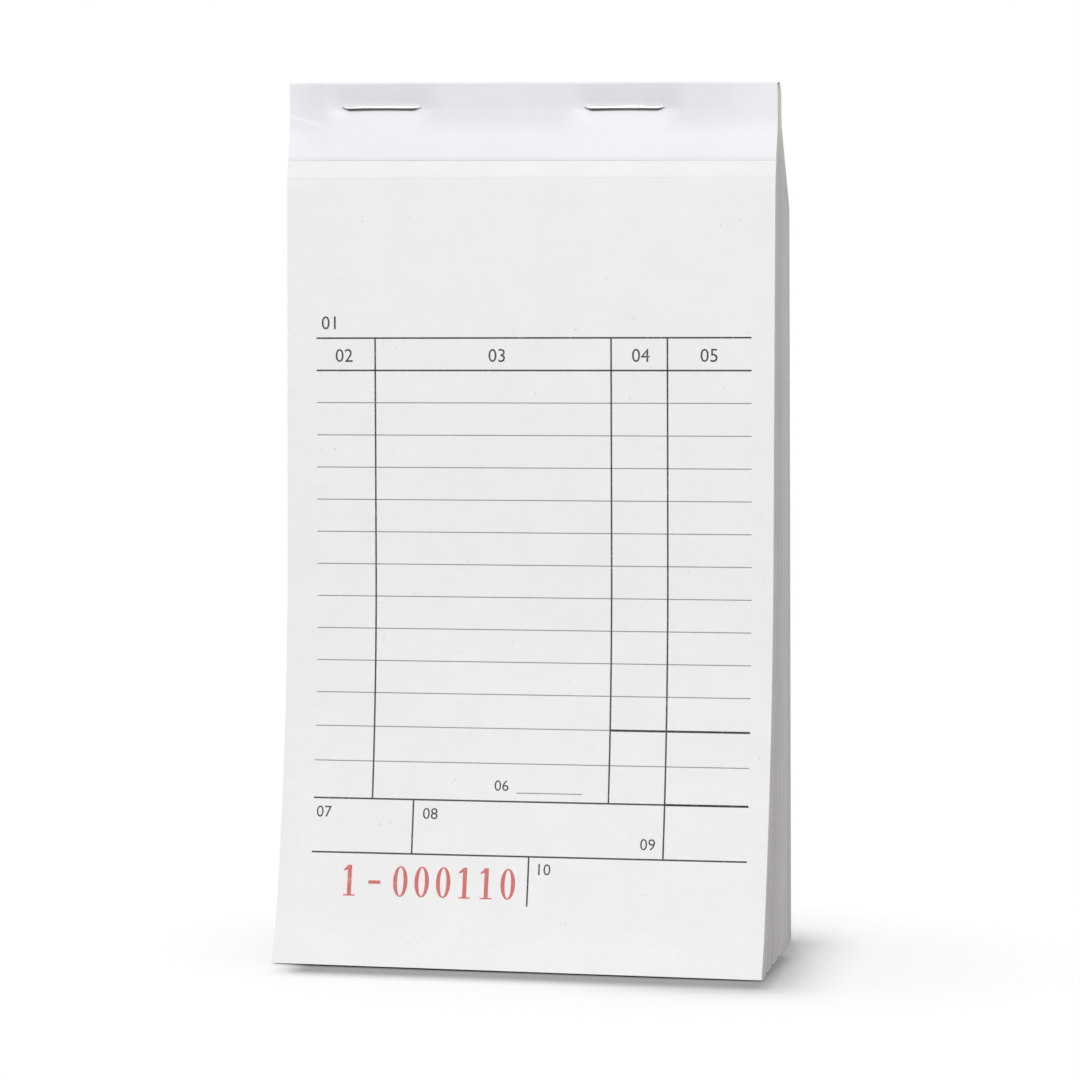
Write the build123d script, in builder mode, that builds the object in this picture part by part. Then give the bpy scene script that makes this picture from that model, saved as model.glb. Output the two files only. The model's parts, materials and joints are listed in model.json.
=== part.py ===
from build123d import *
from math import atan2, ceil, copysign, cos, floor, hypot, radians, tan
import os

# Duplicate receipt book standing on its own splayed leaves, stapled edge up.
# X runs along the printed lines, the printed face looks towards -Y, and Z = 0 is the table.

# Paper
sheet_width = 80.0
sheet_length = 141.5
sheet_thickness = 0.06
set_count = 25
sheets_per_set = 2
loose_sets = 2

# Stance: how the leaves lean and spread, as angles from upright
flare_height = 36.0
flare_angle = 17.6
flare_softness = 0.78
body_lean = 3.2
front_spread = 18.2
back_spread = 31.4
shoulder_drop = 14.0
hip_tangent = 0.9
clump_count = 5
clump_share = 0.72

# Card cover
card_thickness = 0.15
card_clearance = 0.03
crease_clearance = 0.03
ridge_rise = 0.5
ridge_radius = 0.1
rear_drop = 1.4
rear_radius = 1.0
rear_share = 0.6
flap_reach = 5.8
visible_stub = 2.7

# Binding
bound_margin = 4.65
sheet_air = 0.002
fold_clearance = 0.08

# Staples
staple_crown = 13.4
staple_left_inset = 15.35
staple_right_inset = 24.65
staple_rise = 2.75
wire_depth = 0.5
wire_height = 0.6
clinch_length = 4.2
wire_clearance = 0.02

# Perforation of the loose originals
perforation_gap = 0.1
tie_width = 0.6
tie_pitch = 2.0
part_clearance = 0.03

os.makedirs("parts", exist_ok=True)

# The clamped stack leaves room for the sheets to bend out of it side by side
sheet_count = set_count * sheets_per_set
stub_pitch = sheet_thickness / cos(radians(max(front_spread, back_spread))) + sheet_air
stub_depth = sheet_count * stub_pitch

# The front sheet's own length sets the height at which the stack is clamped
perforation_drop = flap_reach + visible_stub
flare_run = flare_height / cos(radians(flare_angle))
spread_run = perforation_drop / cos(radians(front_spread))
body_rise = (sheet_length - bound_margin - flare_run - spread_run) * cos(radians(body_lean))
perforation_z = flare_height + body_rise
clamp_z = perforation_z + perforation_drop
shoulder_z = clamp_z - shoulder_drop

# Depths measured back from the foot of the front leaf, then centred on the origin
knee_front = flare_height * tan(radians(flare_angle))
hip_front = knee_front + body_rise * tan(radians(body_lean))
clamp_front = hip_front + perforation_drop * tan(radians(front_spread))
clamp_back = clamp_front + stub_depth
back_inside = clamp_back + shoulder_drop * tan(radians(back_spread))
overall_depth = back_inside + card_clearance + card_thickness
front_y = -overall_depth / 2


def between(first, last, share):
    """The point that lies the given share of the way from one point to another."""
    return (first[0] + (last[0] - first[0]) * share, first[1] + (last[1] - first[1]) * share)


def shifted(path, distance):
    """A path moved to its left, every run staying parallel to the run it came from."""
    normals = []
    for (y0, z0), (y1, z1) in zip(path, path[1:]):
        run = hypot(y1 - y0, z1 - z0)
        normals.append(((z0 - z1) / run, (y1 - y0) / run))
    moved = []
    for (y, z), before, after in zip(path, [normals[0], *normals], [*normals, normals[-1]]):
        scale = distance / (1 + before[0] * after[0] + before[1] * after[1])
        moved.append((y + scale * (before[0] + after[0]), z + scale * (before[1] + after[1])))
    return moved


def even_share(number):
    """Place of a sheet in an even fan, 0 at the front and below 1 at the back."""
    return number / sheet_count


def clumped_share(number):
    """Place of a sheet in a fan whose sheets gather in clumps with gaps between them."""
    per_clump = ceil(sheet_count / clump_count)
    return (number // per_clump + clump_share * (number % per_clump) / per_clump) / clump_count


def sheet_path(number):
    """Corners of a sheet's front face from the clamp down: evenly fanned at the hip, clumped at the foot."""
    even = even_share(number)
    clumped = clumped_share(number)
    back = front_y + back_inside
    clamp = (front_y + clamp_front + number * stub_pitch + sheet_air / 2, clamp_z)
    hip = between((front_y + hip_front, perforation_z), (back, shoulder_z), even)
    knee = between((front_y + knee_front, flare_height), (back, flare_height), (even + clumped) / 2)
    foot = between((front_y, 0), (back, 0), clumped)
    return [clamp, hip, knee, foot]


def bends(number):
    """Signed turn and tangent length of a sheet's two soft bends, at the hip and at the knee."""
    path = sheet_path(number)
    headings = [atan2(z1 - z0, y1 - y0) for (y0, z0), (y1, z1) in zip(path, path[1:])]
    return [(headings[1] - headings[0], hip_tangent),
            (headings[2] - headings[1], flare_softness * flare_height)]


def bend_radii(number, behind):
    """Radii of the two soft bends on the face that lies the given distance behind the front face."""
    return [tangent / tan(abs(turn) / 2) - copysign(behind, turn) for turn, tangent in bends(number)]


def bound_length(number):
    """Length of a sheet above the clamp, as all sheets are equally long and all stand on the table."""
    path = sheet_path(number)
    length = sheet_length
    for (y0, z0), (y1, z1) in zip(path, path[1:]):
        length -= hypot(y1 - y0, z1 - z0)
    for turn, tangent in bends(number):
        length += tangent * (2 - abs(turn) / tan(abs(turn) / 2))
    return length


# The fold clears the highest sheet behind its ridge, and the card lies close to the clamped stack
front_inside = front_y + clamp_front - card_clearance
rear_inside = front_y + clamp_back + card_clearance
fold_y = front_inside + rear_share * (rear_inside - front_inside)
fold_z = clamp_z + max(bound_length(number) for number in range(sheet_count)) + fold_clearance

# Staple legs, two for each staple
staple_z = clamp_z + staple_rise
staple_places = {"staple_left": staple_left_inset - sheet_width / 2,
                 "staple_right": sheet_width / 2 - staple_right_inset}
leg_places = []
for middle in staple_places.values():
    leg_places += [middle - (staple_crown - wire_depth) / 2, middle + (staple_crown - wire_depth) / 2]


def build_sheet(number):
    """A whole sheet from its top edge in the fold to the table, pierced for the staple legs."""
    path = sheet_path(number)
    clamp_y = path[0][0]
    front = [(clamp_y, clamp_z + bound_length(number)), *path]
    back = shifted(front, sheet_thickness)
    knee, foot = back[-2:]
    back[-1] = between(knee, foot, knee[1] / (knee[1] - foot[1]))
    radii = [0, 0, *bend_radii(number, 0), 0, 0, *reversed(bend_radii(number, sheet_thickness)), 0, 0]
    with BuildPart() as sheet:
        with BuildSketch(Plane.YZ.offset(-sheet_width / 2)):
            with BuildLine():
                FilletPolyline(*front, *reversed(back), radius=radii, close=True)
            make_face()
        extrude(amount=sheet_width)
        for place in leg_places:
            with Locations((place, clamp_y, staple_z)):
                Box(wire_depth + 2 * wire_clearance, 4 * sheet_thickness,
                    wire_height + 2 * wire_clearance, mode=Mode.SUBTRACT)
    return sheet.part


# Card cover, first panel: flap, sharp ridge, rounded rear of the head, and slant down to the shoulder crease
panel_inside = front_y + back_inside + card_clearance
inner_face = [(front_inside - flap_reach * tan(radians(front_spread)), clamp_z - flap_reach),
              (front_inside, clamp_z), (front_inside, fold_z + ridge_rise), (fold_y, fold_z),
              (rear_inside, fold_z - rear_drop), (rear_inside, clamp_z), (panel_inside, shoulder_z),
              (panel_inside, 0)]
outer_face = shifted(inner_face, card_thickness)
inner_radii = [0, 0, ridge_radius, rear_radius, rear_radius, 0, 0]
outer_radii = [radius + card_thickness if radius else 0 for radius in inner_radii]
with BuildPart() as cover_head:
    with BuildSketch(Plane.YZ.offset(-sheet_width / 2)):
        with BuildLine():
            FilletPolyline(*inner_face[:-1], *reversed(outer_face[:-1]),
                           radius=[*inner_radii, *reversed(outer_radii)], close=True)
        make_face()
    extrude(amount=sheet_width)
    for place in leg_places:
        with Locations((place, (front_inside + rear_inside) / 2, staple_z)):
            Box(wire_depth + 2 * wire_clearance, rear_inside - front_inside + 4 * card_thickness,
                wire_height + 2 * wire_clearance, mode=Mode.SUBTRACT)
cover_head.part.label = "cover_head"
export_step(cover_head.part, "parts/cover_head.step")

# Card cover, second panel: the flat back, which swings away from the leaves at the shoulder crease
panel_height = shoulder_z - crease_clearance
with BuildPart() as cover_back:
    with BuildSketch(Plane.YZ.offset(-sheet_width / 2)):
        with Locations((panel_inside, 0)):
            Rectangle(card_thickness, panel_height, align=(Align.MIN, Align.MIN))
    extrude(amount=sheet_width)
cover_back.part.label = "cover_back"
export_step(cover_back.part, "parts/cover_back.step")

# Wire staples: crown on the flap, legs through every sheet, ends clinched on the rear of the head
crown_y = front_inside - card_thickness
clinch_y = rear_inside + card_thickness
for name, middle in staple_places.items():
    half = staple_crown / 2 - wire_depth
    with BuildPart() as staple:
        with BuildSketch(Plane.XY.offset(staple_z - wire_height / 2)):
            with BuildLine():
                Polyline((middle - half + clinch_length, clinch_y), (middle - half, clinch_y),
                         (middle - half, crown_y), (middle + half, crown_y),
                         (middle + half, clinch_y), (middle + half - clinch_length, clinch_y))
                offset(amount=wire_depth, side=Side.RIGHT, kind=Kind.ARC)
            make_face()
        extrude(amount=wire_height)
    staple.part.label = name
    export_step(staple.part, "parts/" + name + ".step")

# Sheets: the loose sets come apart at the perforation, the others are whole.
# Short ties between the slits of a loose original reach up to its stub.
slit_count = floor(sheet_width / tie_pitch)
slit_start = -(slit_count - 1) / 2 * tie_pitch
for number in range(sheet_count):
    kind = "original" if number % sheets_per_set == 0 else "duplicate"
    name = kind + "_" + str(number // sheets_per_set + 1).zfill(2)
    sheet = build_sheet(number)
    if number >= loose_sets * sheets_per_set:
        sheet.label = name
        export_step(sheet, "parts/" + name + ".step")
        continue
    stub_foot = perforation_z + (perforation_gap if kind == "original" else part_clearance)
    with BuildPart() as stub:
        add(sheet)
        split(bisect_by=Plane.XY.offset(stub_foot), keep=Keep.TOP)
    stub.part.label = name + "_stub"
    export_step(stub.part, "parts/" + name + "_stub.step")
    with BuildPart() as leaf:
        add(sheet)
        split(bisect_by=Plane.XY.offset(stub_foot - part_clearance), keep=Keep.BOTTOM)
        if kind == "original":
            for place in range(slit_count):
                with Locations((slit_start + place * tie_pitch, sheet_path(number)[1][0], perforation_z)):
                    Box(tie_pitch - tie_width, perforation_drop, perforation_gap,
                        align=(Align.CENTER, Align.CENTER, Align.MIN), mode=Mode.SUBTRACT)
    leaf.part.label = name + "_leaf"
    export_step(leaf.part, "parts/" + name + "_leaf.step")
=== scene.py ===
import json
from math import pi, radians, tan
import bpy
import numpy as np
from mathutils import Matrix, Vector


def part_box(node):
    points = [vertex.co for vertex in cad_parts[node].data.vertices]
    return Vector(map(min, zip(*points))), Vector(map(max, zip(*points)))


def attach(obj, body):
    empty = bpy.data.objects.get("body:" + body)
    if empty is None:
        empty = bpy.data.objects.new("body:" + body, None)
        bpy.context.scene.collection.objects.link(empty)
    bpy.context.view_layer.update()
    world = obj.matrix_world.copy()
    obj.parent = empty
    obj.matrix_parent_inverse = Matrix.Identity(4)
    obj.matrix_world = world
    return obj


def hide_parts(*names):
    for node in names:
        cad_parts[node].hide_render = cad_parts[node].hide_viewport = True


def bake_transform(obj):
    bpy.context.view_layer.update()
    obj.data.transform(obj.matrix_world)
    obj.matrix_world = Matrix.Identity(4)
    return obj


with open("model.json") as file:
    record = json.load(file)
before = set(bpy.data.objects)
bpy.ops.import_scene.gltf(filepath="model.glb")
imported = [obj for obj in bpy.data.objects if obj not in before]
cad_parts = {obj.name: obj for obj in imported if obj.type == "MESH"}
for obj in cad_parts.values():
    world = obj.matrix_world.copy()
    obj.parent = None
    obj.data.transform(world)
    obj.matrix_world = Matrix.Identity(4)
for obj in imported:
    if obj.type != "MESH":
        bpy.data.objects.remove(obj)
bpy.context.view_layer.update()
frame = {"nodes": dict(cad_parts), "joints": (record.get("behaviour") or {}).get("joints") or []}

# Duplicate receipt book. Sizes are millimetres in the part's own frame and become metres in make_piece.
MM = 0.001
X, Y, Z = range(3)
joints = {joint["name"]: joint for joint in frame["joints"]}


def reach(node, end, axis):
    """One coordinate of a CAD node's box in millimetres: end 0 is its lowest corner, 1 its highest."""
    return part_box(node)[end][axis] / MM


def middle_of(node, axis):
    """The middle of a CAD node's box along one axis, in millimetres."""
    return (reach(node, 0, axis) + reach(node, 1, axis)) / 2


def pivot(joint, axis):
    """One coordinate of a joint's pivot in millimetres."""
    return joints[joint]["pos_m"][axis] / MM


# Book, read from the frame
half_width = reach("cover_back", 1, X)
perforation_z = pivot("original_01_turn", Z)
hip_y = pivot("original_01_turn", Y)
foot_y = reach("original_01_leaf", 0, Y)
back_y = reach("cover_back", 0, Y)
shoulder_z = pivot("cover_back_swing", Z)
top_z = reach("cover_head", 1, Z)
staple_places = {name: middle_of(name, X) for name in ("staple_left", "staple_right")}
staple_z = middle_of("staple_left", Z)
staple_half = (reach("staple_left", 1, X) - reach("staple_left", 0, X)) / 2

# Paper and stance, as the part's source has them
sheet_count = 50
sheet_thickness = 0.06
card_thickness = 0.15
card_clearance = 0.03
sheet_air = 0.002
flare_height = 36.0
flare_angle = radians(17.6)
flare_softness = 0.78
front_spread = radians(18.2)
back_spread = radians(31.4)
flap_reach = 5.8
visible_stub = 2.7
hip_tangent = 0.9
clump_size = 10
clump_share = 0.72

# Path of a sheet: it starts in the fold, so far above the clamp, and turns there almost without a radius
bound_run = 8.0
clamp_tangent = 0.05
knee_tangent = flare_softness * flare_height
sheet_tangents = (clamp_tangent, hip_tangent, knee_tangent)
clamp_z = perforation_z + flap_reach + visible_stub
stub_pitch = sheet_thickness / np.cos(back_spread) + sheet_air
clamp_y = hip_y + (clamp_z - perforation_z) * tan(front_spread)
knee_y = foot_y + flare_height * tan(flare_angle)
last_y = back_y - card_clearance

# The fold and the staple line slope down this much from the left staple towards the right end
head_sink = 0.0062


# Paths

def walk(corners, tangents, distance):
    """Points and headings along a polyline with rounded corners.

    Straight runs and arcs lie end to end, each arc starting its tangent length before a corner. A point
    is the first corner plus what the distance covers of every run and arc before it.
    """
    corners = np.asarray(corners, float)
    runs = np.diff(corners, axis=0)
    lengths = np.hypot(runs[:, 0], runs[:, 1])
    heads = runs / lengths[:, None]
    trims = [0, *tangents, 0]
    left = np.asarray(distance, float)
    point = np.broadcast_to(corners[0], left.shape + (2,)).copy()
    heading = np.broadcast_to(heads[0], left.shape + (2,)).copy()
    for number, head in enumerate(heads):
        straight = lengths[number] - trims[number] - trims[number + 1]
        point += np.clip(left, 0, straight)[..., None] * head
        left = left - straight
        if number + 1 == len(heads):
            break
        after = heads[number + 1]
        turn = np.arctan2(head[0] * after[1] - head[1] * after[0], head @ after)
        side = np.sign(turn) * np.array([-head[1], head[0]])
        radius = trims[number + 1] / tan(abs(turn) / 2)
        angle = np.clip(left / radius, 0, abs(turn))[..., None]
        point += radius * (np.sin(angle) * head + (1 - np.cos(angle)) * side)
        heading = np.where(angle > 0, np.cos(angle) * head + np.sin(angle) * side, heading)
        left = left - radius * abs(turn)
    return point, heading


def path_length(corners, tangents):
    """Length of the rounded path: its runs, less what each arc saves at its corner."""
    runs = np.diff(np.asarray(corners, float), axis=0)
    bearings = np.arctan2(runs[:, 1], runs[:, 0])
    turns = np.abs((np.diff(bearings) + pi) % (2 * pi) - pi)
    saved = np.asarray(tangents) * (2 - turns / np.tan(turns / 2))
    return np.hypot(runs[:, 0], runs[:, 1]).sum() - saved.sum()


def between(first, last, share):
    """The point that lies the given share of the way from one point to another."""
    return np.asarray(first) + (np.asarray(last) - np.asarray(first)) * share


def sheet_corners(number):
    """Corners of a sheet's front face in (y, z), down from the fold: even at the hip, clumped at the foot."""
    even = number / sheet_count
    in_clump = clump_share * (number % clump_size) / clump_size
    clumped = (number // clump_size + in_clump) * clump_size / sheet_count
    front = clamp_y + number * stub_pitch + sheet_air / 2
    return [(front, clamp_z + bound_run), (front, clamp_z),
            between((hip_y, perforation_z), (last_y, shoulder_z), even),
            between((knee_y, flare_height), (last_y, flare_height), (even + clumped) / 2),
            between((foot_y, 0), (last_y, 0), clumped)]


# Distances among which the perforation and the foot are looked for
bound_stations = np.linspace(0, 30, 3001)
foot_stations = np.linspace(100, 150, 5001)


def perforation_run(number):
    """Distance along a sheet's path from its start in the fold down to the perforation line."""
    height = walk(sheet_corners(number), sheet_tangents, bound_stations)[0][:, 1]
    return np.interp(-perforation_z, -height, bound_stations)


def sheet_walk(number, below):
    """Points and headings of a sheet's front face, by the distance below the perforation line."""
    return walk(sheet_corners(number), sheet_tangents, perforation_run(number) + below)


def leaf_length(number):
    """Length of a leaf from the perforation line to the table."""
    height = sheet_walk(number, foot_stations)[0][:, 1]
    return foot_stations[np.argmin(height)]


def smooth_step(value, low, high):
    """0 below low, 1 above high, and an S-shaped rise between them."""
    share = np.clip((value - low) / (high - low), 0, 1)
    return share * share * (3 - 2 * share)


# Unevenness of the loose leaves: two waves, a pressed fold line, a kicked foot and a curled edge
wave_height = 0.16
wave_across = 19.0
wave_down = 27.0
wave_shift = 1.3
cross_down = 15.5
cross_across = 33.0
cross_shift = 0.7
wave_start = (1, 25)
wave_end = (95, 124)
fold_below = 121.5
fold_slope = 0.016
fold_wander = 0.25
fold_wander_run = 5.0
fold_height = 0.08
fold_width = 0.5
fold_uneven = (3.1, 8.3)
foot_kick = 0.16
edge_curl = 0.09
curl_width = 0.6
curl_start = (0, 2)


def leaf_swell(number, x, below):
    """How far a loose leaf stands forward of its flat path.

    Two slow waves across the sheet, held at the perforation and the foot, plus a thin curl along the right
    edge. Near the foot runs a pressed fold line of uneven depth, below which the front leaf kicks forward.
    """
    wave = 0.5 + 0.5 * np.sin(x / wave_across + below / wave_down + wave_shift * number)
    wave = wave * (0.6 + 0.4 * np.cos(below / cross_down - x / cross_across + cross_shift * number))
    held = smooth_step(below, *wave_start) * (1 - smooth_step(below, *wave_end))
    past_fold = below - fold_below - fold_slope * x - fold_wander * np.sin(x / fold_wander_run)
    uneven = 1 + np.sin(x / fold_uneven[0]) * np.sin(x / fold_uneven[1])
    fold = fold_height * uneven * np.exp(-((past_fold / fold_width) ** 2))
    kick = foot_kick * np.maximum(past_fold, 0) * (number == 0)
    curl = edge_curl * np.exp(-(((half_width - x) / curl_width) ** 2)) * smooth_step(below, *curl_start)
    return wave_height * wave * held + fold + kick + curl


def on_leaf(number, x, below, lift):
    """Points on a sheet: its path carried along x and moved out along the face's normal.

    They move by the lift, and on a loose leaf also by the swell. None goes below the table.
    """
    point, heading = sheet_walk(number, below)
    normal = np.stack([heading[..., 1], -heading[..., 0]], -1)
    swell = leaf_swell(number, x, below) if number in loose_sheets else 0
    moved = point + normal * (np.asarray(lift) + swell)[..., None]
    return np.stack([x, moved[..., 0], np.maximum(moved[..., 1], 0)], -1)


# Meshes

sharp_edge = radians(35)


def grid_quads(index):
    """Quads between neighbours in a grid of point numbers, facing a viewer for whom its rows run down."""
    return np.stack([index[:-1, :-1], index[1:, :-1], index[1:, 1:], index[:-1, 1:]], -1).reshape(-1, 4)


def closed_sheet(front, back):
    """A closed shell from two like grids: the front, the back turned round, and a rim along their border."""
    rows, columns = front.shape[:2]
    fore = np.arange(rows * columns).reshape(rows, columns)
    rear = fore + rows * columns
    border = [np.concatenate([index[:, 0], index[-1, 1:], index[-2::-1, -1], index[0, -2:0:-1]])
              for index in (fore, rear)]
    rim = np.stack([border[0], border[1], np.roll(border[1], -1), np.roll(border[0], -1)], -1)
    quads = np.concatenate([grid_quads(fore), grid_quads(rear)[:, ::-1], rim])
    return np.concatenate([front.reshape(-1, 3), back.reshape(-1, 3)]), quads.tolist()


def loft(rings, wrap=False):
    """A closed shell from a row of rings joined by quads, its ends capped unless the row wraps."""
    count, around = rings.shape[:2]
    index = np.arange(count * around).reshape(count, around)
    here, ahead = (index, np.roll(index, -1, 0)) if wrap else (index[:-1], index[1:])
    quads = np.stack([here, np.roll(here, -1, 1), np.roll(ahead, -1, 1), ahead], -1).reshape(-1, 4)
    points = rings.reshape(-1, 3)
    corners = points[quads] - points.mean(0)
    normals = np.cross(corners[:, 1] - corners[:, 0], corners[:, 2] - corners[:, 0])
    volume = np.einsum("ij,ij->i", corners[:, 0], normals).sum()
    faces = quads.tolist() + ([] if wrap else [index[0, ::-1].tolist(), index[-1].tolist()])
    return points, (faces if volume > 0 else [face[::-1] for face in faces])


def make_piece(name, shells, finish, body=None, stands_for=(), slot=None):
    """One object from closed shells given in millimetres, riding on a body and standing for CAD nodes."""
    points, faces, start = [], [], 0
    for shell_points, shell_faces in shells:
        points.append(shell_points * MM)
        faces += [[corner + start for corner in face] for face in shell_faces]
        start += len(shell_points)
    mesh = bpy.data.meshes.new(name)
    mesh.from_pydata(np.concatenate(points).tolist(), [], faces)
    mesh.shade_smooth()
    mesh.set_sharp_from_angle(angle=sharp_edge)
    mesh.materials.append(finish)
    piece = bpy.data.objects.new(name, mesh)
    bpy.context.scene.collection.objects.link(piece)
    if body:
        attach(piece, body)
    if stands_for:
        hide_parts(*stands_for)
    return piece


# Finishes

class Shade:
    """One output in a node tree. Arithmetic on values adds Math nodes, and node adds any other kind."""

    def __init__(self, tree, socket=None):
        self.tree = tree
        self.socket = socket

    def node(self, kind, settings=None, sockets=None, output=0):
        """A new node: its settings come first, then its sockets by name or number, as values or links."""
        made = self.tree.nodes.new(kind)
        for name, value in (settings or {}).items():
            setattr(made, name, value)
        for name, value in (sockets or {}).items():
            if isinstance(value, Shade):
                self.tree.links.new(value.socket, made.inputs[name])
            else:
                made.inputs[name].default_value = value
        return Shade(self.tree, made.outputs[output] if made.outputs else None)

    def maths(self, operation, *terms):
        """A Math node on the terms."""
        return self.node("ShaderNodeMath", {"operation": operation}, dict(enumerate(terms)))

    def __add__(self, other):
        return self.maths("ADD", self, other)

    def __radd__(self, other):
        return self.maths("ADD", other, self)

    def __sub__(self, other):
        return self.maths("SUBTRACT", self, other)

    def __rsub__(self, other):
        return self.maths("SUBTRACT", other, self)

    def __mul__(self, other):
        return self.maths("MULTIPLY", self, other)

    def vector(self, operation, *terms, output=0):
        """A Vector Math node on the terms."""
        return self.node("ShaderNodeVectorMath", {"operation": operation}, dict(enumerate(terms)), output)

    def axes(self):
        """The x, y and z of this vector."""
        parts = self.node("ShaderNodeSeparateXYZ", {}, {"Vector": self}).socket.node.outputs
        return [Shade(self.tree, part) for part in parts]

    def noise(self, scale, detail=2.0, stretch=(1, 1, 1)):
        """Smooth noise at this vector, pulled out along the axes by the stretch."""
        place = self.node("ShaderNodeMapping", {}, {"Vector": self, "Scale": stretch})
        return self.node("ShaderNodeTexNoise", {}, {"Vector": place, "Scale": scale, "Detail": detail})

    def band(self, low, high):
        """0 below low and 1 above high, rising smoothly between."""
        return self.node("ShaderNodeMapRange", {"interpolation_type": "SMOOTHSTEP"},
                         {"Value": self, "From Min": low, "From Max": high})

    def within(self, rise, fall):
        """1 between two soft edges and 0 outside: where it rises and where it falls, in millimetres."""
        return self.band(rise[0] * MM, rise[1] * MM) * (1 - self.band(fall[0] * MM, fall[1] * MM))

    def mix(self, first, second):
        """The first colour where this value is 0, the second where it is 1."""
        return self.node("ShaderNodeMix", {"data_type": "RGBA"}, {0: self, 6: first, 7: second}, output=2)

    def bump(self, distance, strength=1.0):
        """A normal from this value as a height."""
        return self.node("ShaderNodeBump", {}, {"Height": self, "Distance": distance, "Strength": strength})


def blank_material(name):
    """A new material with an empty node tree, and object coordinates to start it from."""
    material = bpy.data.materials.new(name)
    material.use_nodes = True
    material.node_tree.nodes.clear()
    return material, Shade(material.node_tree).node("ShaderNodeTexCoord", output="Object")


def new_finish(name, recipe, **constants):
    """A material whose main shader takes what the recipe works out from object coordinates."""
    material, place = blank_material(name)
    surface = place.node("ShaderNodeBsdfPrincipled", {}, {**recipe(place), **constants})
    place.node("ShaderNodeOutputMaterial", {}, {"Surface": surface})
    return material


def rgba(red, green, blue):
    """A colour for a socket, from linear parts."""
    return (red, green, blue, 1.0)


def grey(level):
    """A grey for a socket, from its linear level."""
    return rgba(level, level, level)


def shaded(colour, share):
    """The same colour a share as bright."""
    return rgba(*(part * share for part in colour[:3]))


def paper(colour, speck=0.5):
    """Uncoated paper: cloudy formation, crossing fibres, sparse dark specks and a faint fibre bump."""
    def recipe(place):
        cloud = place.noise(130.0, 3.0)
        along = place.noise(900.0, 4.0, (1, 1, 0.22))
        across = place.noise(900.0, 4.0, (0.22, 1, 1))
        fibres = (along + across) * 0.5
        tone = (cloud * 0.55 + fibres * 0.45).band(0.30, 0.72)
        specks = place.noise(1900.0, 0.0).band(0.865, 0.89) * speck
        sheet = tone.mix(shaded(colour, 0.965), colour)
        return {"Base Color": specks.mix(sheet, shaded(colour, 0.55)),
                "Roughness": 0.78 + fibres * 0.16,
                "Normal": fibres.bump(0.00002, 0.5)}
    return recipe


def card(colour):
    """Smooth cover card: faint cloudiness, fine calender bump, and scuffs along the fold and the crease.

    The scuffs stop short of the back panel, so that they keep their place when it swings.
    """
    def recipe(place):
        _, depth, height = place.axes()
        cloud = place.noise(95.0, 3.0)
        grain = place.noise(1500.0, 3.0, (0.35, 1, 1))
        scuff = place.noise(700.0, 4.0, (0.3, 1, 1)).band(0.52, 0.74)
        at_fold = height.band((top_z - 0.9) * MM, top_z * MM)
        at_crease = height.within((shoulder_z - 0.8, shoulder_z), (shoulder_z + 0.4, shoulder_z + 1.1))
        off_panel = 1 - depth.band((back_y + 1.0) * MM, (back_y + 2.0) * MM)
        worn = (at_fold + at_crease) * off_panel * scuff * 0.6
        tone = (cloud * 0.7 + grain * 0.3).band(0.32, 0.7)
        sheet = tone.mix(shaded(colour, 0.972), colour)
        return {"Base Color": worn.mix(sheet, shaded(colour, 0.86)),
                "Roughness": 0.52 + grain * 0.2,
                "Normal": grain.bump(0.000012, 0.5)}
    return recipe


def bright_wire(colour):
    """Plated staple wire: drawn lines along it, dull patches, and painted shade along its underside, below
    the staple line.
    """
    def recipe(place):
        across, _, height = place.axes()
        past_left = across - staple_places["staple_left"] * MM
        level = height + across.maths("MAXIMUM", past_left, 0.0) * head_sink
        drawn = place.noise(2600.0, 3.0, (0.05, 1, 1))
        dull = place.noise(500.0, 2.0)
        plating = drawn.band(0.3, 0.75).mix(shaded(colour, 0.8), colour)
        # painted shade: below the staple line the wire's colour falls to a dark grey, with a ragged edge from
        # the dull patches
        above_painted_shade = (level + dull * 0.00008).band((staple_z - 0.08) * MM, (staple_z + 0.42) * MM)
        return {"Base Color": above_painted_shade.mix(shaded(colour, 0.11), plating),
                "Roughness": 0.2 + dull * 0.22,
                "Normal": drawn.bump(0.00001, 0.4)}
    return recipe


def ink(colour, ground):
    """Printing ink with thin patches through which the paper shows."""
    def recipe(place):
        grain = place.noise(2600.0, 2.0)
        patch = place.noise(160.0, 2.0).band(0.35, 0.75)
        thin = grain.band(0.5, 0.78) * (0.10 + patch * 0.16)
        return {"Base Color": thin.mix(colour, ground),
                "Roughness": 0.55 + grain * 0.2,
                "Normal": grain.bump(0.00001, 0.3)}
    return recipe


def tinted_papers(name, colour, step):
    """Three papers, each a step darker than the one before."""
    return [new_finish(name + "_" + str(tint), paper(shaded(colour, 1 - step * tint))) for tint in range(3)]


white_paper = rgba(0.895, 0.89, 0.89)
copy_paper = rgba(0.885, 0.845, 0.815)
cool_card = rgba(0.858, 0.852, 0.895)

original_finishes = tinted_papers("original_paper", white_paper, 0.05)
duplicate_finishes = tinted_papers("duplicate_paper", copy_paper, 0.06)
card_finish = new_finish("cover_card", card(cool_card))
wire_finish = new_finish("staple_wire", bright_wire(rgba(0.80, 0.80, 0.81)), Metallic=1.0)
black_ink = new_finish("black_ink", ink(rgba(0.03, 0.03, 0.032), white_paper))
grey_ink = new_finish("grey_ink", ink(rgba(0.24, 0.24, 0.245), white_paper))
red_ink = new_finish("red_ink", ink(rgba(0.60, 0.14, 0.125), white_paper))


# Sheets

def sheet_name(number):
    """Name of a sheet, counted from the front: originals and duplicates take turns."""
    return ("original_", "duplicate_")[number % 2] + str(number // 2 + 1).zfill(2)


def sheet_finish(number):
    """Paper of a sheet, in tints that wander a little from one small group of sheets to the next."""
    return (original_finishes, duplicate_finishes)[number % 2][(number // 5 * 2 + number // 8) % 3]


loose_sheets = [number for number in range(sheet_count) if sheet_name(number) + "_leaf" in frame["nodes"]]

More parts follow.
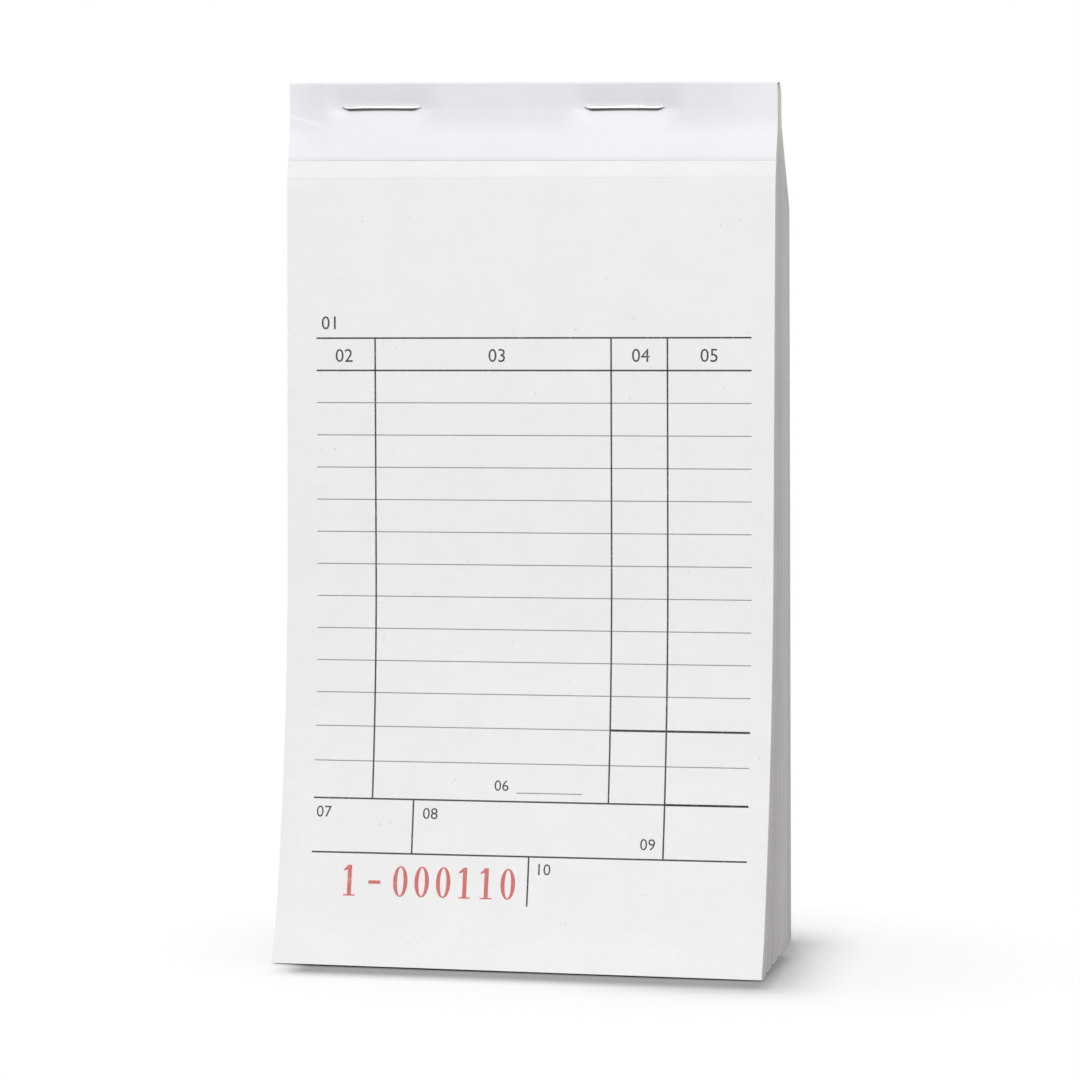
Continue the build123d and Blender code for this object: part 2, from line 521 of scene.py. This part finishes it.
# Ties of the perforation, and how far above its line the leaf itself reaches
tie_pitch = 2.0
tie_width = 0.6
tie_height = 0.094
tie_inset = 0.1 * sheet_thickness
slit_foot = 0.088

# Fineness of the meshes, and where a bound sheet's finer part ends below the perforation
leaf_rows = 129
leaf_columns = 41
bound_head_rows = 61
bound_rows = 121
bound_columns = 9
past_hip = 5


def across_book(count):
    """Places along x from the left side of the book to the right."""
    return np.linspace(-half_width, half_width, count)


def thin_sheet(number, stations, places, inset=0.0):
    """A closed sheet over distances below the perforation and places along x, less an inset on each face."""
    below, x = np.meshgrid(stations, places, indexing="ij")
    return closed_sheet(on_leaf(number, x, below, -inset), on_leaf(number, x, below, inset - sheet_thickness))


def leaf_shells(number):
    """A loose leaf as a thin closed sheet, with the perforation's ties along the top of an original."""
    stations = np.linspace(-slit_foot, leaf_length(number), leaf_rows)
    shells = [thin_sheet(number, stations, across_book(leaf_columns))]
    if number % 2:
        return shells
    for middle in np.arange(-half_width + tie_pitch, half_width, tie_pitch):
        edges = [middle - tie_width / 2, middle + tie_width / 2]
        shells.append(thin_sheet(number, [-tie_height, 0.0], edges, tie_inset))
    return shells


def bound_sheet(number):
    """A sheet that stays in the book, as one thin closed sheet from its top edge in the fold to the table."""
    top_edge = clamp_z + bound_run - reach(sheet_name(number), 1, Z) - perforation_run(number)
    stations = np.concatenate([np.linspace(top_edge, past_hip, bound_head_rows),
                               np.linspace(past_hip, leaf_length(number), bound_rows)[1:]])
    return thin_sheet(number, stations, across_book(bound_columns))


for name, node in frame["nodes"].items():
    kind, _, rest = name.partition("_")
    if kind in ("original", "duplicate"):
        number = 2 * int(rest[:2]) - (2 if kind == "original" else 1)
        node.material_slots[0].material = sheet_finish(number)

for number in loose_sheets:
    name = sheet_name(number)
    make_piece(name + "_sheet", leaf_shells(number), sheet_finish(number), name, [name + "_leaf"],
               name.split("_")[0] + "_paper")

# The next sheet shows its print once the loose ones are turned up
next_sheet = len(loose_sheets)
next_name = sheet_name(next_sheet)
make_piece(next_name + "_sheet", [bound_sheet(next_sheet)], sheet_finish(next_sheet), "book", [next_name],
           next_name.split("_")[0] + "_paper")


# Print: x from the sheet's middle, and distance below the perforation line, before the skew

print_skew = radians(0.3)
print_left = -35.1
print_right = 36.3
head_rule = 25.55
row_pitch = 5.23
row_count = 10
heavy_rule = 88.55
last_rule = 94.2
table_rule = 100.3
foot_rule = 109.1
short_rule = 98.9
short_rule_ends = (-1.5, 9.3)
first_column = -25.3
second_column = 13.6
third_column = 22.75
left_cell = -18.45
right_cell = 0.9
cell_foot = 117.1
fine_width = 0.155
bold_width = 0.27
heavy_width = 0.36
rule_step = 1.5
ink_sink = 0.012
ink_height = 0.012


def printed(number, u, v, lift):
    """Print coordinates turned by the skew about the head rule and laid on a sheet."""
    return on_leaf(number, u + print_skew * (v - head_rule), v - print_skew * u, lift)


def ribbon(number, one_edge, other_edge, wrap=False):
    """A flat stroke of ink between two edge lines: a four-cornered section carried along them."""
    u, v = np.stack([one_edge, other_edge, other_edge, one_edge], 1).transpose(2, 0, 1)
    lift = np.array([-ink_sink, -ink_sink, ink_height, ink_height]) + np.zeros_like(u)
    return loft(printed(number, u, v, lift), wrap)


def rule(number, start, end, width):
    """A straight printed line of some width, stepped so that it follows the sheet."""
    run = np.subtract(end, start)
    length = np.hypot(*run)
    line = np.asarray(start) + np.linspace(0, 1, 2 + int(length / rule_step))[:, None] * run
    along = run / length
    aside = np.array([-along[1], along[0]]) * width / 2
    return ribbon(number, line - aside, line + aside)


def bold_rules(number):
    """Frame of the table: level lines at its head, its foot and below it, and the column lines."""
    body_rule = head_rule + row_pitch
    level = [(head_rule, print_left, bold_width), (body_rule, print_left, bold_width),
             (table_rule, print_left, bold_width), (foot_rule, print_left, bold_width),
             (heavy_rule, second_column, heavy_width), (table_rule, third_column, heavy_width)]
    upright = [(first_column, head_rule, table_rule), (second_column, head_rule, table_rule),
               (third_column, head_rule, foot_rule), (left_cell, table_rule, foot_rule),
               (right_cell, foot_rule, cell_foot)]
    return ([rule(number, (start, down), (print_right, down), width) for down, start, width in level]
            + [rule(number, (across, top), (across, foot), bold_width) for across, top, foot in upright])


def fine_rules(number):
    """Writing lines of the table, and one short line near its foot."""
    rows = [head_rule + row_pitch * (row + 2) for row in range(row_count)] + [heavy_rule, last_rule]
    level = [(down, print_left, print_right) for down in rows] + [(short_rule, *short_rule_ends)]
    return [rule(number, (start, down), (end, down), fine_width) for down, start, end in level]


# Plain field numbers: left end, foot line and height of each
fields = [(-34.3, 24.1, 2.1), (-32.0, 29.4, 2.1), (-6.6, 29.4, 2.1), (16.9, 29.4, 2.1), (28.0, 29.4, 2.1),
          (-5.2, 98.6, 1.7), (-34.6, 103.4, 1.8), (-16.9, 103.4, 1.8), (18.9, 107.6, 1.8), (2.0, 112.0, 1.8)]

# Height of a figure as a share of the text's size
figure_share = 0.69


def field_numbers(number):
    """Each field's number as thin figures, made a mesh, welded and then laid on the sheet."""
    shells = []
    for count, (left, foot, height) in enumerate(fields, 1):
        text = bpy.data.curves.new("field", "FONT")
        text.body = str(count).zfill(2)
        text.size = height / figure_share
        text.extrude = 1.0
        text.resolution_u = 3
        holder = bpy.data.objects.new("field", text)
        mesh = bpy.data.meshes.new_from_object(holder)
        points = np.empty(len(mesh.vertices) * 3)
        mesh.vertices.foreach_get("co", points)
        welded, index = np.unique(np.round(points.reshape(-1, 3), 5), axis=0, return_inverse=True)
        u, v, level = welded.T
        lift = np.where(level > 0, ink_height, -ink_sink)
        faces = [index.ravel()[list(face.vertices)].tolist() for face in mesh.polygons]
        shells.append((printed(number, left + u, foot - v, lift), faces))
        bpy.data.objects.remove(holder)
        bpy.data.meshes.remove(mesh)
        bpy.data.curves.remove(text)
    return shells


# Serial number in upright figures with thick stems and thin joins, each in a box one wide and one high

def figure_nought():
    """A ring between two ellipses, the inner one narrow so that the sides are thick."""
    angle = np.linspace(0, 2 * pi, 48, endpoint=False)
    turn = np.stack([np.cos(angle), np.sin(angle)], -1)
    return [(0.5 + turn * [0.22, 0.455], 0.5 + turn * [0.5, 0.5], True)]


def figure_one():
    """A thick stem on a thin foot, with a short flag at the top left."""
    stem = np.array([(0.36, 0.0), (0.36, 1.0)]), np.array([(0.64, 0.0), (0.64, 1.0)]), False
    foot = np.array([(0.1, 0.0), (0.9, 0.0)]), np.array([(0.1, 0.045), (0.9, 0.045)]), False
    flag = np.array([(0.08, 0.80), (0.4, 0.86)]), np.array([(0.08, 0.85), (0.4, 1.0)]), False
    return [stem, foot, flag]


def figure_two():
    """A stroke round an arc and down a slant, thickest at the right, on a thick foot bar."""
    angle = np.linspace(radians(170), radians(-35), 24)
    bowl = np.stack([0.5 + 0.36 * np.cos(angle), 0.74 + 0.22 * np.sin(angle)], -1)
    share = np.linspace(0, 1, 16)[1:, None]
    pull = np.array([0.45, 0.38])
    end = np.array([0.1, 0.1])
    slant = bowl[-1] * (1 - share) ** 2 + pull * 2 * share * (1 - share) + end * share**2
    line = np.concatenate([bowl, slant])
    along = np.gradient(line, axis=0)
    aside = np.stack([-along[:, 1], along[:, 0]], -1) / np.hypot(*along.T)[:, None]
    width = 0.05 + 0.09 * np.sin(np.linspace(0.2, pi, len(line)))[:, None] ** 2
    bar = np.array([(0.06, 0.0), (0.94, 0.0)]), np.array([(0.06, 0.13), (0.94, 0.17)]), False
    return [(line - aside * width, line + aside * width, False), bar]


figures = {"0": figure_nought, "1": figure_one, "2": figure_two}
first_serial = 110
serial_foot = 116.1
serial_height = 5.0
serial_width = 2.4
serial_starts = [-29.75, -21.3, -17.75, -14.2, -10.65, -7.1, -3.55]
dash_ends = (-25.4, -23.4)
dash_below = serial_foot - 0.46 * serial_height
dash_width = 0.55


def serial_number(number):
    """The set's number: a one, a dash and six figures, the same on an original and its duplicate."""
    text = "1" + str(first_serial + number // 2).zfill(6)
    shells = [rule(number, (dash_ends[0], dash_below), (dash_ends[1], dash_below), dash_width)]
    scale = np.array([serial_width, -serial_height])
    for start, figure in zip(serial_starts, text):
        corner = np.array([start, serial_foot])
        for one_edge, other_edge, wrap in figures[figure]():
            shells.append(ribbon(number, corner + one_edge * scale, corner + other_edge * scale, wrap))
    return shells


for number in [*loose_sheets, next_sheet]:
    name = sheet_name(number)
    body = name if number in loose_sheets else "book"
    make_piece(name + "_bold_rules", bold_rules(number), black_ink, body)
    make_piece(name + "_fine_rules", fine_rules(number), grey_ink, body)
    make_piece(name + "_field_numbers", field_numbers(number), black_ink, body)
    make_piece(name + "_serial_number", serial_number(number), red_ink, body)


# Cover: one card from the flap over the fold and down the back

rear_share = 0.6
ridge_rise = 0.5
rear_drop = 1.4
flap_y = clamp_y - card_clearance
rear_y = clamp_y + sheet_count * stub_pitch + card_clearance
fold_y = flap_y + rear_share * (rear_y - flap_y)
flap_foot = clamp_z - flap_reach
ridge_z = top_z - card_thickness
fold_z = ridge_z - ridge_rise
cover_corners = [(flap_y - flap_reach * tan(front_spread), flap_foot), (flap_y, clamp_z),
                 (flap_y, ridge_z), (fold_y, fold_z), (rear_y, fold_z - rear_drop), (rear_y, clamp_z),
                 (back_y, shoulder_z), (back_y, 0)]
cover_tangents = (1.6, 0.1, 0.33, 0.4, 1.6, 0.25)

# Slack of the flap, lost towards both ends
flap_bulge = 1.7
end_run = 9
end_loss = 0.9

# Valley along the staple line, with a dent at each crown
valley_share = 0.14
valley_wave = 0.05
valley_wave_run = 7.0
dent_inset = 1.0
dent_fade = 3.0
dent_above = 2.9
dent_below = 2.2
dent_power = 1.4

# Slanting crease at the flap's left end
crease_z = 136.2
crease_step = 0.12
crease_slope = 0.3
crease_soft = 0.35
crease_fade = (0.5, 3.5)
crease_end = (3, 9)

# Lower edge of the flap: its thickness, and what is trimmed off at the left
flap_edge = 0.05
edge_run = 0.5
flap_trim = 0.3
trim_run = 5.0

# Fineness of the mesh: finest about the ridge, coarse down the back
ridge_band = 0.6
slant_run = 40
cover_rows = (64, 25, 108, 41)
cover_columns = 161


def cover_swell(x, y, height):
    """How far the flap stands forward of its flat path.

    A slack lean from the lower edge out to the fold, fading over the top, less a valley along the staple
    line that reaches the full depth at each crown, plus a slanting crease at the left end below which the
    card stands a little further out.
    """
    slack = np.clip((height - flap_foot) / (ridge_z - flap_foot), 0, 1)
    slack = slack * (1 - end_loss * smooth_step(np.abs(x), half_width - end_run, half_width))
    pressed = valley_share + valley_wave * np.sin(x / valley_wave_run)
    for middle in staple_places.values():
        aside = np.maximum(np.abs(x - middle) - staple_half + dent_inset, 0) / dent_fade
        pressed = np.maximum(pressed, np.exp(-aside**2))
    spread = np.where(height > staple_z, dent_above, dent_below)
    valley = 1 - pressed * np.exp(-((np.abs(height - staple_z) / spread) ** dent_power))
    from_left = x + half_width
    below_crease = crease_z - crease_slope * from_left - height
    crease = crease_step * smooth_step(below_crease, -crease_soft, crease_soft)
    crease = crease * (1 - smooth_step(below_crease, *crease_fade))
    crease = crease * (1 - smooth_step(from_left, *crease_end))
    over_top = 1 - smooth_step(y, flap_y, rear_y)
    return (flap_bulge * slack * valley + crease) * over_top


def sunk(x):
    """How much lower the fold and the staple line sit, growing evenly from the left staple to the right."""
    return head_sink * np.maximum(x - staple_places["staple_left"], 0)


def cover_shells():
    """The card's section carried along x: a rounded path, and an outer face one card off it.

    The card thins towards the flap's lower edge, which is trimmed a little askew, and the fold sinks
    towards the right.
    """
    ridge_run = flap_reach / np.cos(front_spread) + ridge_z - clamp_z
    stops = (0, ridge_run - ridge_band, ridge_run + ridge_band, slant_run,
             path_length(cover_corners, cover_tangents))
    runs = [np.linspace(start, end, count)[1:] for start, end, count in zip(stops, stops[1:], cover_rows)]
    run, x = np.meshgrid(np.concatenate([[0.0], *runs]), across_book(cover_columns), indexing="ij")
    trim = flap_trim * (half_width - x) / (2 * half_width) * np.clip(1 - run / trim_run, 0, 1)
    point, heading = walk(cover_corners, cover_tangents, run + trim)
    normal = np.stack([-heading[..., 1], heading[..., 0]], -1)
    swell = cover_swell(x, point[..., 0], point[..., 1])
    sink = sunk(x) * smooth_step(point[..., 1], flap_foot, staple_z)
    sink = sink * (1 - smooth_step(point[..., 0], flap_y, fold_y))
    outside = flap_edge + (card_thickness - flap_edge) * smooth_step(run, 0, edge_run)
    faces = []
    for depth in (outside, 0 * outside):
        y, height = np.moveaxis(point + normal * depth[..., None], -1, 0)
        faces.append(np.stack([x, y - swell, np.maximum(height - sink, 0)], -1)[::-1])
    return [closed_sheet(*faces)]


cover = make_piece("wrap_cover", cover_shells(), card_finish, stands_for=["cover_head", "cover_back"],
                   slot="cover_card")
(shoulder_z + 0.8) * MM
(shoulder_z - 0.8) * MM
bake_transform(cover)


# Staples

wire_depth = 0.5
wire_height = 0.72
wire_power = 0.75
clinch_length = 4.2
bend_tangent = 0.45
crown_bow = 0.16
chisel_run = (-0.25, 0.7)
hook_run = 1.3
hook_rise = 0.26
hook_taper = 0.45
wire_steps = 181
wire_corners = 16


def flattened(part):
    """A sine or cosine raised to a power below one, which gives an oval flatter sides."""
    return np.sign(part) * np.abs(part) ** wire_power


def staple_shells(middle, name):
    """Bent wire: an oval section carried along crown, legs and clinched ends.

    The tips are flattened to a chisel. The crown bows up in the middle, and its ends grow thinner and
    turn up where they enter the card.
    """
    front = reach(name, 0, Y) + wire_depth / 2
    rear = reach(name, 1, Y) - wire_depth / 2
    half = staple_half - wire_depth / 2
    corners = [(middle - half + clinch_length, rear), (middle - half, rear), (middle - half, front),
               (middle + half, front), (middle + half, rear), (middle + half - clinch_length, rear)]
    tangents = [bend_tangent] * 4
    run = np.linspace(0, path_length(corners, tangents), wire_steps)
    point, heading = walk(corners, tangents, run)
    aside = point[:, 0] - middle
    bow = crown_bow * (1 - (aside / staple_half) ** 2) * (point[:, 1] < (front + rear) / 2)
    hook = smooth_step(np.abs(aside), half - hook_run, half)
    chisel = smooth_step(np.minimum(run, run[::-1]), *chisel_run)
    angle = np.linspace(0, 2 * pi, wire_corners, endpoint=False)
    across = wire_depth / 2 * flattened(np.cos(angle)) * chisel[:, None]
    upward = wire_height / 2 * flattened(np.sin(angle)) * (1 - hook_taper * hook[:, None])
    x = point[:, :1] + across * heading[:, 1:]
    y = point[:, 1:] - across * heading[:, :1]
    z = staple_z - sunk(middle) + (bow + hook_rise * hook)[:, None] + upward
    return [loft(np.stack([x, y, z], -1))]


for name, middle in staple_places.items():
    make_piece(name + "_wire", staple_shells(middle, name), wire_finish, "book", [name], "staple_wire")


# Floor, light and camera

def shown_rays(shade):
    """1 for the rays that show a surface in the picture, 0 for those that carry light between surfaces."""
    rays = shade.node("ShaderNodeLightPath").socket.node.outputs
    straight, mirrored, through = (Shade(shade.tree, rays[ray]) for ray in
                                   ("Is Camera Ray", "Is Glossy Ray", "Is Transmission Ray"))
    return straight + mirrored + through


# Floor: its tones, the greys of its painted shadow, and the share of plain white near the book, cut where the
# shadow is painted
floor_tone = 0.96
painted_front_shadow_grey = 0.42
bounce_tone = 0.45
near_white = 0.72
painted_side_shadow_grey = 0.55
painted_side_shadow_white_cut = 0.95


def floor_finish():
    """Pale floor that keeps the book's shadow, with painted shadow close to the foot, and runs out to even
    white.

    The painted shadow is a grey that is strongest in a strip before the front leaf, fading towards its left
    end, and fainter beside the right edges, where less white is added. The white takes over with the distance
    from the book's middle, and there is none of it under the book. To the rays that carry light the floor is
    one dull grey.
    """
    material, place = blank_material("floor")
    x, y, _ = place.axes()
    # painted shadow: a strip before the front leaf and a fainter patch beside the right edges
    before = y.within((-26.5, -19.5), (0, 10)) * x.within((-41, -33), (39, 46))
    painted_side_shadow = x.within((0, 30), (38, 56)) * y.within((-34, -18), (10, 30))
    under = x.within((-41, -39), (39, 41)) * y.within((-17, -15), (15, 16))
    # painted shadow: the floor is grey where these masks lie, and gets less white there
    painted_shadow = before.maths("MAXIMUM", before, painted_side_shadow * painted_side_shadow_grey)
    shown = shown_rays(place)
    tone = shown.mix(grey(bounce_tone), painted_shadow.mix(grey(floor_tone), grey(painted_front_shadow_grey)))
    matt = place.node("ShaderNodeBsdfDiffuse", {}, {"Color": tone})
    white = place.node("ShaderNodeEmission", {}, {"Color": grey(1)})
    oval = place.vector("MULTIPLY_ADD", place, (1, 1.7, 0), (-0.014, 0, 0))
    far = oval.vector("LENGTH", oval, output=1).band(0.040, 0.085)
    share = (near_white + far * (1 - near_white)) * (1 - before) * (1 - painted_side_shadow * painted_side_shadow_white_cut) * (1 - under)
    surface = place.node("ShaderNodeMixShader", {}, {0: share * shown, 1: matt, 2: white})
    place.node("ShaderNodeOutputMaterial", {}, {"Surface": surface})
    return material


floor_half = 3000.0
floor_level = -0.02
floor_points = 7
floor_line = np.linspace(-floor_half, floor_half, floor_points)
floor_grid = np.stack(np.meshgrid(floor_line, floor_line, [floor_level]), -1).reshape(-1, 3)
floor_index = np.arange(floor_points**2).reshape(floor_points, floor_points)
floor = make_piece("floor", [(floor_grid, grid_quads(floor_index)[:, ::-1].tolist())], floor_finish())


def add_lamp(name, place, target, size, power):
    """A square soft lamp, all in metres and watts, that faces its target."""
    light = bpy.data.lights.new(name, "AREA")
    light.size = size
    light.energy = power
    lamp = bpy.data.objects.new(name, light)
    lamp.location = place
    lamp.rotation_euler = (Vector(target) - Vector(place)).to_track_quat("-Z", "Y").to_euler()
    bpy.context.scene.collection.objects.link(lamp)


add_lamp("overhead_key", (-0.025, 0.229, 1.25), (0, 0, 0), 0.05, 1.2)
add_lamp("front_fill", (0, -1.75, 1.08), (0, 0, 0.07), 0.9, 25.8)
add_lamp("right_fill", (1.3, -0.2, 0.3), (0, 0, 0.07), 0.5, 3.3)
add_lamp("back_fill", (0.3, 1.3, 0.5), (0, 0, 0.07), 0.8, 3.2)

world = bpy.data.worlds.new("white_room")
bpy.context.scene.world = world
world.use_nodes = True
world.node_tree.nodes.clear()
sky = Shade(world.node_tree)
dim = sky.node("ShaderNodeBackground", {}, {"Color": grey(1), "Strength": 0.35})
white = sky.node("ShaderNodeBackground", {}, {"Color": grey(1), "Strength": 1.0})
room = sky.node("ShaderNodeMixShader", {}, {0: shown_rays(sky), 1: dim, 2: white})
sky.node("ShaderNodeOutputWorld", {}, {"Surface": room})

camera_yaw = radians(11.782)
camera_pitch = radians(6.468)
camera_roll = radians(-0.533)
camera_place = Vector((137.478, -651.927, 143.245)) * MM
camera_lens = 138.19
camera_sensor = 36.0

camera_data = bpy.data.cameras.new("camera")
camera_data.lens = camera_lens
camera_data.sensor_width = camera_sensor
camera = bpy.data.objects.new("camera", camera_data)
turned = (Matrix.Rotation(camera_yaw, 4, "Z") @ Matrix.Rotation(pi / 2 - camera_pitch, 4, "X")
          @ Matrix.Rotation(camera_roll, 4, "Z"))
camera.matrix_world = Matrix.Translation(camera_place) @ turned
bpy.context.scene.collection.objects.link(camera)
bpy.context.scene.camera = camera
bpy.context.scene.view_settings.view_transform = "Standard"

bpy.context.view_layer.update()
